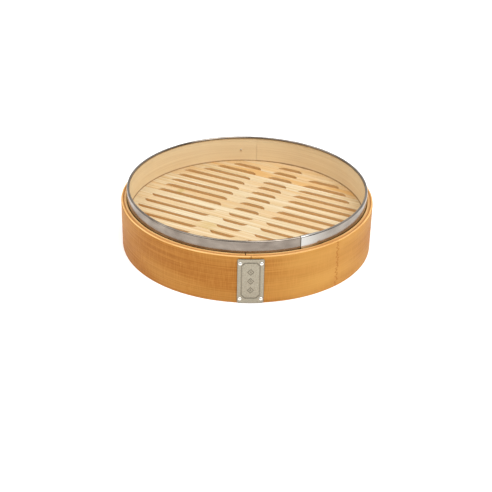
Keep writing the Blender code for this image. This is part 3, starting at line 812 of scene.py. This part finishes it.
def slat_blank():
    """A slat with unit length and width. span and share say where along it each section lies."""
    ring = slat_ring()
    sections = [(span, k / steps) for span, steps in enumerate(SPAN_STEPS) for k in range(steps)]
    sections.append((len(SPAN_STEPS) - 1, 1.0))
    shape = bmesh.new()
    span_of, share_of, inset_of = (shape.verts.layers.float.new(name)
                                   for name in ("span", "share", "inset"))
    loops = []
    for span, share in sections:
        ends = math.sin(share * math.pi / 2) ** 2 if span % 2 else share
        loop = []
        for t, inset, z in ring:
            vertex = shape.verts.new((span + share, t, z))
            vertex[span_of], vertex[share_of], vertex[inset_of] = span, ends, inset
            loop.append(vertex)
        loops.append(loop)
    skin(shape, loops)
    for loop in (loops[0], loops[-1]):
        cap_slat(shape, loop)
    return add_piece("slat_blank", keep_shape(shape, "slat_blank"))


def cap_slat(shape, loop):
    """Closes a slat's end with upright faces between its top and bottom rows, so it can curve."""
    rows = len(SLAT_ROWS) - 2
    top = loop[4 : 4 + rows]
    bottom = loop[-2 : -2 - rows : -1]
    shape.faces.new([loop[-1], *loop[:4], top[0], bottom[0]])
    for i in range(rows - 1):
        shape.faces.new((bottom[i], top[i], top[i + 1], bottom[i + 1]))
    shape.faces.new([bottom[-1], top[-1], *loop[4 + rows : 8 + rows], loop[-2 - rows]])


def slat_tree():
    """Makes every slat from one blank: each point's own edges and notches shape its copy."""
    tree, given = new_tree("notched_slats", {
        "Points": "Geometry", "Blank": "Object", "Floor radius": "Float",
        "Notch end radius": "Float", "Floor top": "Float", "Turn": "Float", "Material": "Material"})
    blank = add(tree, "GeometryNodeObjectInfo", {"Object": given["Blank"]}, out="Geometry")
    copies = add(tree, "GeometryNodeInstanceOnPoints",
                 {"Points": given["Points"], "Instance": blank})
    slats = add(tree, "GeometryNodeRealizeInstances", {"Geometry": copies})
    marks = [f"mark_{i}" for i in range(6)]
    own = ("near", "far", "side", "depth", "lift", "honey_here", "node_at", "node_width",
           "node_dark", "slide", "span", "share", "inset", *marks)
    known = {name: add(tree, "GeometryNodeInputNamedAttribute", {"Name": name}, out="Attribute",
                       data_type="FLOAT") for name in own}
    here = add(tree, "GeometryNodeInputPosition")
    _, known["t"], known["z"] = add(tree, "ShaderNodeSeparateXYZ", {0: here}).node.outputs
    known["r"] = given["Notch end radius"]
    # Half the slat's length, which its place in the round floor gives.
    work_out(tree, known, (
        ("width", "SUBTRACT", "far", "near"),
        ("flat_w", "MULTIPLY_ADD", "t", "width", "near"),
        ("w_squared", "MULTIPLY", "flat_w", "flat_w"),
        ("radius_squared", "POWER", given["Floor radius"], 2.0),
        ("inside", "SUBTRACT", "radius_squared", "w_squared"),
        ("half_squared", "MAXIMUM", "inside", 0.0),
        ("half", "SQRT", "half_squared"),
        ("minus_half", "MULTIPLY", "half", -1.0)))

    # The span's two ends: the slat's own ends, or the marks of its notches.
    span = add(tree, "FunctionNodeFloatToInt", {0: known["span"]})
    for name, values in (("start", ["minus_half", *marks]), ("end", [*marks, "half"])):
        switch = tree.nodes.new("GeometryNodeIndexSwitch")
        switch.data_type = "FLOAT"
        while len(switch.index_switch_items) < len(values):
            switch.index_switch_items.new()
        tree.links.new(span, switch.inputs["Index"])
        for i, value in enumerate(values):
            tree.links.new(known[value], switch.inputs[1 + i])
        known[name] = switch.outputs[0]

    work_out(tree, known, (
        ("run", "SUBTRACT", "end", "start"),
        ("free_u", "MULTIPLY_ADD", "share", "run", "start"),
        ("low_u", "MAXIMUM", "free_u", "minus_half"),
        ("u", "MINIMUM", "low_u", "half"),
        # A notch rises from each of its ends along an arc to its full depth.
        ("from_start", "SUBTRACT", "free_u", "start"),
        ("to_end", "SUBTRACT", "end", "free_u"),
        ("away", "MINIMUM", "from_start", "to_end"),
        ("sunk", "SUBTRACT", "r", "depth"),
        ("r_squared", "POWER", "r", 2.0),
        ("sunk_squared", "POWER", "sunk", 2.0),
        ("run_squared", "SUBTRACT", "r_squared", "sunk_squared"),
        ("end_run", "SQRT", "run_squared"),
        ("short_by", "SUBTRACT", "end_run", "away"),
        ("left", "MAXIMUM", "short_by", 0.0),
        ("left_squared", "POWER", "left", 2.0),
        ("arc_squared", "SUBTRACT", "r_squared", "left_squared"),
        ("arc", "SQRT", "arc_squared"),
        ("rise", "SUBTRACT", "arc", "sunk"),
        ("odd", "MODULO", "span", 2.0),
        ("notch", "MULTIPLY", "rise", "odd"),
        # It moves the near edge in on slats behind the key slat, and the far edge on the others.
        ("near_share", "SUBTRACT", 1.0, "t"),
        ("behind", "GREATER_THAN", "side", 0.0),
        ("ahead", "LESS_THAN", "side", 0.0),
        ("near_move", "MULTIPLY", "near_share", "behind"),
        ("far_move", "MULTIPLY", "t", "ahead"),
        ("sway", "SUBTRACT", "near_move", "far_move"),
        ("notched_w", "MULTIPLY_ADD", "sway", "notch", "flat_w"),
        ("w", "ADD", "notched_w", "inset"),
        ("height", "ADD", "z", given["Floor top"]),
        ("lifted", "ADD", "height", "lift"),
        # Each slat's grain is slid along by its own amount, and its culm node fades to both sides.
        ("slid", "ADD", "u", "slide"),
        ("from_node", "SUBTRACT", "u", "node_at"),
        ("widths", "DIVIDE", "from_node", "node_width"),
        ("widths_squared", "POWER", "widths", 2.0),
        ("faded", "MULTIPLY", "widths_squared", -1.0),
        ("node_bell", "EXPONENT", "faded"),
        ("node_mark", "MULTIPLY", "node_bell", "node_dark")))
    grain = add(tree, "ShaderNodeCombineXYZ", {0: known["slid"], 1: known["w"], 2: known["height"]})
    for name, kind, value in (("grain", "FLOAT_VECTOR", grain),
                              ("honey", "FLOAT", known["honey_here"]),
                              ("culm_node", "FLOAT", known["node_mark"])):
        slats = add(tree, "GeometryNodeStoreNamedAttribute",
                    {"Geometry": slats, "Name": name, "Value": value},
                    data_type=kind, domain="POINT")
    there = add(tree, "ShaderNodeCombineXYZ", {0: known["u"], 1: known["w"], 2: known["lifted"]})
    shaped = add(tree, "GeometryNodeSetPosition", {"Geometry": slats, "Position": there})
    turn = add(tree, "ShaderNodeCombineXYZ", {2: given["Turn"]})
    turned = add(tree, "GeometryNodeTransform", {"Geometry": shaped, "Rotation": turn})
    merged = add(tree, "GeometryNodeMergeByDistance", {"Geometry": turned, "Distance": 0.01 * MM})
    return close_tree(tree, merged, given["Material"])


def make_floor():
    blank = slat_blank()
    piece = run_tree("floor_slats", slat_points(), slat_tree(), {
        "Blank": blank, "Floor radius": FLOOR_RADIUS, "Notch end radius": NOTCH_END_RADIUS,
        "Floor top": FLOOR_TOP, "Turn": SLAT_ANGLE, "Material": SLAT})
    bpy.data.objects.remove(blank)
    smooth_above(piece.data, 25)
    return place(piece, "slat_bamboo", *nodes_named("floor_slat_"))


def bridge_centres():
    left, right = OUTER_NOTCH_STARTS
    return {"left": (left + MIDDLE_NOTCH[0]) / 2, "right": (right + MIDDLE_NOTCH[1]) / 2}


def lean_line_end(u, side):
    """Where a line that starts at u and leans with the columns meets the floor's rim."""
    a = 1 + COLUMN_LEAN**2
    b = -2 * u * COLUMN_LEAN
    c = u**2 - FLOOR_RADIUS**2
    return (-b + side * math.sqrt(b**2 - 4 * a * c)) / (2 * a)


def make_batten(side):
    """A split batten: flat on top, crowned below, with its ends cut to the hoop's curve."""
    centre = bridge_centres()[side]
    half_width = BATTEN_WIDTH / 2
    across = [half_width * math.sin(math.radians(a)) for a in range(-75, 76, 15)]
    under = [(u, BATTEN_BOTTOM + BATTEN_CROWN * (u / half_width) ** 2) for u in across]
    side_z, shoulder = BATTEN_BOTTOM + BATTEN_SIDE, BATTEN_TOP - BATTEN_CORNER
    flat = half_width - BATTEN_CORNER
    ring = [(-half_width, side_z), *under, (half_width, side_z), (half_width, shoulder),
            (flat, BATTEN_TOP), (-flat, BATTEN_TOP), (-half_width, shoulder)]
    shape = bmesh.new()
    grain = shape.verts.layers.float_vector.new("grain")
    turn = Matrix.Rotation(SLAT_ANGLE, 3, "Z")
    loops = []
    for share in np.linspace(0, 1, 60):
        loop = []
        for u, z in ring:
            front, back = lean_line_end(centre + u, -1), lean_line_end(centre + u, 1)
            w = front + (back - front) * share
            place_here = Vector((centre + u - COLUMN_LEAN * w, w, z))
            vertex = shape.verts.new(turn @ place_here)
            vertex[grain] = (w + (2.0 if side == "left" else 5.0), u, z)
            loop.append(vertex)
        loops.append(loop)
    skin(shape, loops, caps=(0, -1))
    mesh = keep_shape(shape, f"batten_{side}_strip")
    mesh.materials.append(BATTEN)
    smooth_above(mesh, 30)
    return place(add_piece(f"batten_{side}_strip", mesh), "batten_bamboo", f"batten_{side}")


# ---------------------------------------------------------------- nameplate and nails


def step_at(distance, width):
    """0 outside and 1 inside an outline, with a sloping side this wide."""
    return np.clip(0.5 - distance / width, 0, 1)


def plate_relief(x, z):
    """The embossing's height in metres at x across and z up from the plate's middle: a groove and
    a shallow step on each side of it, all cutting the corners inside the nails, and three plain
    lozenges, one above another."""
    half_width = PLATE_WIDTH / 2
    half_height = (PLATE_BOX[1].z - PLATE_BOX[0].z) / 2
    from_edge = np.maximum(np.abs(x) - half_width, np.abs(z) - half_height)
    in_x = half_width - np.abs(x)
    in_z = half_height - EMBOSSING_LIFT - np.abs(z - EMBOSSING_LIFT)
    slope = 0.9 * MM

    def outline(inset, cut):
        """How far outside a rectangle this many mm in from the edges, with its corners cut off."""
        return np.maximum(inset * MM - np.minimum(in_x, in_z), (cut * MM - in_x - in_z) * 0.7)

    height = np.zeros_like(x)
    height -= 0.12 * MM * step_at(outline(1.7, 10.8), slope)
    height -= 0.32 * MM * step_at(np.abs(outline(4.8, 13.4)) - 0.4 * MM, 0.7 * MM)
    height -= 0.12 * MM * step_at(outline(6.5, 16.0), slope)
    for level in (-LOZENGE_PITCH, 0.0, LOZENGE_PITCH):
        lozenge = np.abs(x) / 0.95 + np.abs(z - level) - LOZENGE_HALF_HEIGHT
        for beyond in (np.abs(lozenge) - 0.3 * MM, np.hypot(x, z - level) - 0.8 * MM):
            height += 0.3 * MM * step_at(beyond, 0.6 * MM)
    height -= 0.25 * MM * np.clip((from_edge + 0.6 * MM) / (0.6 * MM), 0, 1) ** 2
    return height


def plate_blank():
    """The plate laid flat: a fine front face with the embossing, a plain back, and its edge."""
    half_width = PLATE_WIDTH / 2
    low, high = PLATE_BOX[0].z, PLATE_BOX[1].z
    flat = half_width - PLATE_CORNER
    edge_steps = [flat + PLATE_CORNER * math.sin(math.radians(10 * k)) for k in range(1, 10)]
    xs = np.concatenate([[-e for e in reversed(edge_steps)], np.linspace(-flat, flat, 96),
                         edge_steps])
    across = np.maximum(np.abs(xs) - flat, 0) / PLATE_CORNER
    trim = PLATE_CORNER * (1 - np.sqrt(np.maximum(1 - across**2, 0)))
    shares = np.linspace(0, 1, 200)
    x = np.repeat(xs[:, None], len(shares), axis=1)
    z = (low + trim)[:, None] + (high - low - 2 * trim)[:, None] * shares[None, :]
    relief = plate_relief(x, z - (low + high) / 2)
    front = OUTER_RADIUS + GAP + PLATE_THICKNESS
    back = OUTER_RADIUS + GAP
    places = [np.stack([x, depth, z], axis=2).reshape(-1, 3)
              for depth in (front + relief, np.full_like(x, back))]
    index = np.arange(x.size).reshape(x.shape)
    quads = np.stack([index[:-1, :-1], index[:-1, 1:], index[1:, 1:], index[1:, :-1]], axis=2)
    quads = quads.reshape(-1, 4)
    ring = np.concatenate([index[:, 0], index[-1, 1:], index[-2::-1, -1], index[0, -2:0:-1]])
    behind = x.size
    side = np.stack([ring, np.roll(ring, -1), np.roll(ring, -1) + behind, ring + behind], axis=1)
    mesh = bpy.data.meshes.new("nameplate_blank")
    faces = np.concatenate([quads, quads[:, ::-1] + behind, side])
    mesh.from_pydata(np.concatenate(places).tolist(), [], faces.tolist())
    shape = bmesh.new()
    shape.from_mesh(mesh)
    bmesh.ops.recalc_face_normals(shape, faces=shape.faces)
    shape.to_mesh(mesh)
    shape.free()
    # The slope says where painted shade darkens the relief. Its greatest value is about one.
    steep = np.hypot(np.gradient(relief, axis=0) / np.gradient(x, axis=0),
                     np.gradient(relief, axis=1) / np.gradient(z, axis=1))
    mark(mesh, "slope", [*np.clip(steep.ravel(), 0, 1), *([0.0] * behind)])
    return mesh


def make_nameplate():
    front = OUTER_RADIUS + GAP + PLATE_THICKNESS
    piece = bend("nameplate_embossed", plate_blank(), PLATE_AZIMUTH, front, STEEL_PLATE, sharp=50)
    return place(piece, "plate_steel", "nameplate")


def nail_blank(head_radius, head_height, shank_length, shank_radius=0.8 * MM, sides=28):
    """A domed nail whose axis is y: the head points along -y and the shank runs along +y."""
    dome = [(-head_height * math.sin(math.radians(a)), head_radius * math.cos(math.radians(a)))
            for a in (80, 65, 50, 35, 20, 8, 0)]
    profile = [*dome, (0.12 * MM, head_radius * 0.96), (0.14 * MM, shank_radius),
               (shank_length, shank_radius)]
    shape = bmesh.new()
    turns = [math.tau * i / sides for i in range(sides)]
    loops = [[shape.verts.new((r * math.cos(a), y, r * math.sin(a))) for a in turns]
             for y, r in profile]
    skin(shape, loops)
    crown = shape.verts.new((0, -head_height, 0))
    for i in range(sides):
        shape.faces.new((loops[0][i], loops[0][(i + 1) % sides], crown))
    shape.faces.new(loops[-1])
    mesh = keep_shape(shape, "nail_blank")
    smooth_above(mesh, 40)
    return add_piece("nail_blank", mesh)


def nail_tree():
    """Drives a copy of a nail in at each point, turned as the point's own turn says."""
    tree, given = new_tree("drive_nails", {
        "Points": "Geometry", "Nail": "Object", "Size spread": "Float", "Seed": "Int",
        "Material": "Material"})
    nail = add(tree, "GeometryNodeObjectInfo", {"Object": given["Nail"]}, out="Geometry")
    turn = add(tree, "GeometryNodeInputNamedAttribute", {"Name": "turn"}, out="Attribute",
               data_type="FLOAT_VECTOR")
    smallest = add(tree, "ShaderNodeMath", {0: 1.0, 1: given["Size spread"]}, operation="SUBTRACT")
    size = add(tree, "FunctionNodeRandomValue", {2: smallest, 3: 1.0, "Seed": given["Seed"]}, out=1,
               data_type="FLOAT")
    driven = add(tree, "GeometryNodeInstanceOnPoints",
                 {"Points": given["Points"], "Instance": nail, "Rotation": turn, "Scale": size})
    return close_tree(tree, driven, given["Material"])


def drive_nails(name, blank, points, slot, *replaced, size_spread=0.0):
    """points holds (place, turn) pairs, where the turn is an XYZ rotation of the nail."""
    mesh = bpy.data.meshes.new(name + "_points")
    mesh.from_pydata([p for p, _ in points], [], [])
    mark(mesh, "turn", [a for _, angles in points for a in angles], "FLOAT_VECTOR")
    piece = run_tree(name, mesh, NAILS, {
        "Nail": blank, "Size spread": size_spread, "Seed": 3, "Material": NAIL_STEEL})
    bpy.data.objects.remove(blank)
    return place(piece, slot, *replaced)


def at(radius, azimuth, z):
    turn = math.radians(azimuth)
    return Vector((radius * math.sin(turn), -radius * math.cos(turn), z))


def make_plate_nails():
    seat = OUTER_RADIUS + GAP + PLATE_THICKNESS
    middle = (PLATE_BOX[0].z + PLATE_BOX[1].z) / 2
    points = []
    for side in (-1, 1):
        azimuth = PLATE_AZIMUTH + side * math.degrees(NAIL_SPREAD / 2 / seat)
        for level in (-1, 1):
            place_here = at(seat + 0.15 * MM, azimuth, middle + level * NAIL_RISE / 2)
            points.append((place_here, (0.0, 0.0, math.radians(azimuth))))
    drive_nails("nameplate_nails", nail_blank(2.25 * MM, 1.25 * MM, 5.5 * MM), points,
                "nail_steel", *nodes_named("nameplate_nail_"))


def make_lap_nail():
    seat = HOOP_OUTER_RADIUS - HOOP_THICKNESS - LAP_STEP - 0.15 * MM
    turn = (0.0, 0.0, math.radians(LAP_NAIL_AZIMUTH + 180))
    points = [(at(seat, LAP_NAIL_AZIMUTH, LAP_NAIL_HEIGHT), turn)]
    drive_nails("inner_hoop_lap_nail", nail_blank(1.6 * MM, 0.4 * MM, 2.2 * MM), points,
                "nail_steel", "hoop_lap_nail")


def make_batten_nails():
    """One small nail up through each batten into each slat, off the batten's middle by turns."""
    turn = Matrix.Rotation(SLAT_ANGLE, 3, "Z")
    points = []
    for side, centre in bridge_centres().items():
        for k in range(-SLATS_IN_FRONT + 1, SLATS_BEHIND):
            w = (joint_before(k) + joint_before(k + 1)) / 2
            off = 2.2 * MM * (1 if k % 2 else -1)
            seat = Vector((centre - COLUMN_LEAN * w + off, w, BATTEN_BOTTOM + 0.25 * MM))
            points.append((turn @ seat, (math.radians(90), 0.0, 0.0)))
    drive_nails("batten_nails", nail_blank(1.5 * MM, 0.25 * MM, 9 * MM), points, "nail_steel",
                size_spread=0.12)


# ---------------------------------------------------------------- stage

# The camera, aimed close to the origin from in front and above.
CAMERA_DISTANCE = 1.327
CAMERA_ELEVATION = 28.686
CAMERA_DIP = 0.4525
CAMERA_ROLL = 1.2266
LENS = 78.1
SENSOR = 36.0

# How bright the studio's walls and ceiling are.
DIM_FRONT = 0.05
BRIGHT_BACK = 1.0
BRIGHT_CEILING = 1.5


def make_camera():
    data = bpy.data.cameras.new("camera")
    data.lens = LENS
    data.sensor_width = SENSOR
    data.clip_start = 0.05
    camera = bpy.data.objects.new("camera", data)
    bpy.context.scene.collection.objects.link(camera)
    rise = math.radians(CAMERA_ELEVATION)
    where = Vector((0, -CAMERA_DISTANCE * math.cos(rise), CAMERA_DISTANCE * math.sin(rise)))
    tilt = Matrix.Rotation(math.radians(90 - CAMERA_ELEVATION - CAMERA_DIP), 4, "X")
    roll = Matrix.Rotation(math.radians(CAMERA_ROLL), 4, "Z")
    camera.matrix_world = Matrix.Translation(where) @ tilt @ roll
    bpy.context.scene.camera = camera


def make_lamp(name, kind, azimuth, elevation, distance, energy, **settings):
    """A lamp that looks at the basket from this azimuth and elevation, in degrees."""
    data = bpy.data.lights.new(name, kind)
    data.energy = energy
    for key, value in settings.items():
        setattr(data, key, value)
    lamp = bpy.data.objects.new(name, data)
    bpy.context.scene.collection.objects.link(lamp)
    rise = math.radians(elevation)
    lamp.location = at(distance * math.cos(rise), azimuth, distance * math.sin(rise))
    lamp.rotation_euler = lamp.location.to_track_quat("Z", "Y").to_euler()


def studio_world():
    """A white room with a bright ceiling and back, dimmer low down in front."""
    world = bpy.data.worlds.new("white_studio")
    world.use_nodes = True
    tree = world.node_tree
    tree.nodes.clear()
    way = add(tree, "ShaderNodeTexCoord", out="Generated")
    x, y, z = add(tree, "ShaderNodeSeparateXYZ", {"Vector": way}).node.outputs
    low = spread(tree, y, -0.5, 0.3, DIM_FRONT, BRIGHT_BACK)
    high = spread(tree, z, 0.5, 0.85)
    strength = add(tree, "ShaderNodeMix", {"Factor": high, "A": low, "B": BRIGHT_CEILING})
    background = add(tree, "ShaderNodeBackground", {"Strength": strength})
    add(tree, "ShaderNodeOutputWorld", {"Surface": background})
    return world


def make_studio():
    scene = bpy.context.scene
    scene.world = studio_world()
    scene.view_settings.view_transform = "Standard"
    make_lamp("key", "SUN", 38, 52, 2.0, 1.95, angle=math.radians(45))
    make_lamp("fill", "SUN", -70, 45, 2.0, 0.85, angle=math.radians(60))
    floor = bpy.data.meshes.new("studio_floor")
    reach = 6.0
    corners = [(-reach, -reach, 0), (reach, -reach, 0), (reach, reach, 0), (-reach, reach, 0)]
    floor.from_pydata(corners, [], [(0, 1, 2, 3)])
    floor.materials.append(new_material("white_studio_paper", floor_paper))
    add_piece("studio_floor", floor)


# ---------------------------------------------------------------- the basket

make_camera()
BEND = bend_tree()
NAILS = nail_tree()
TOASTED = new_material("carbonised_bamboo_strip", toasted_bamboo)
PLY_EDGE = new_material("bamboo_strip_cut_edge", ply_bamboo)
PALE_HOOP = new_material("shaved_bamboo_hoop", pale_hoop_bamboo)
SLAT = new_material("planed_bamboo_slat", planed_slat_bamboo)
BATTEN = new_material("split_bamboo_batten", batten_bamboo)
PIN = new_material("whittled_bamboo_pin", whittled_pin_bamboo)
STEEL_BAND = new_material("rolled_stainless_strip", rolled_steel)
STEEL_PLATE = new_material("embossed_stainless_plate", embossed_steel)
NAIL_STEEL = new_material("bright_steel_nail", bright_nail_steel)

make_outer_ply()
make_inner_ply()
make_inner_hoop()
make_rim_band()
make_floor()
make_batten("left")
make_batten("right")
make_nameplate()
make_plate_nails()
make_lap_nail()
make_batten_nails()
for pin_name in nodes_named("batten_pin_"):
    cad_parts[pin_name].data.materials.clear()
    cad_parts[pin_name].data.materials.append(PIN)
make_studio()
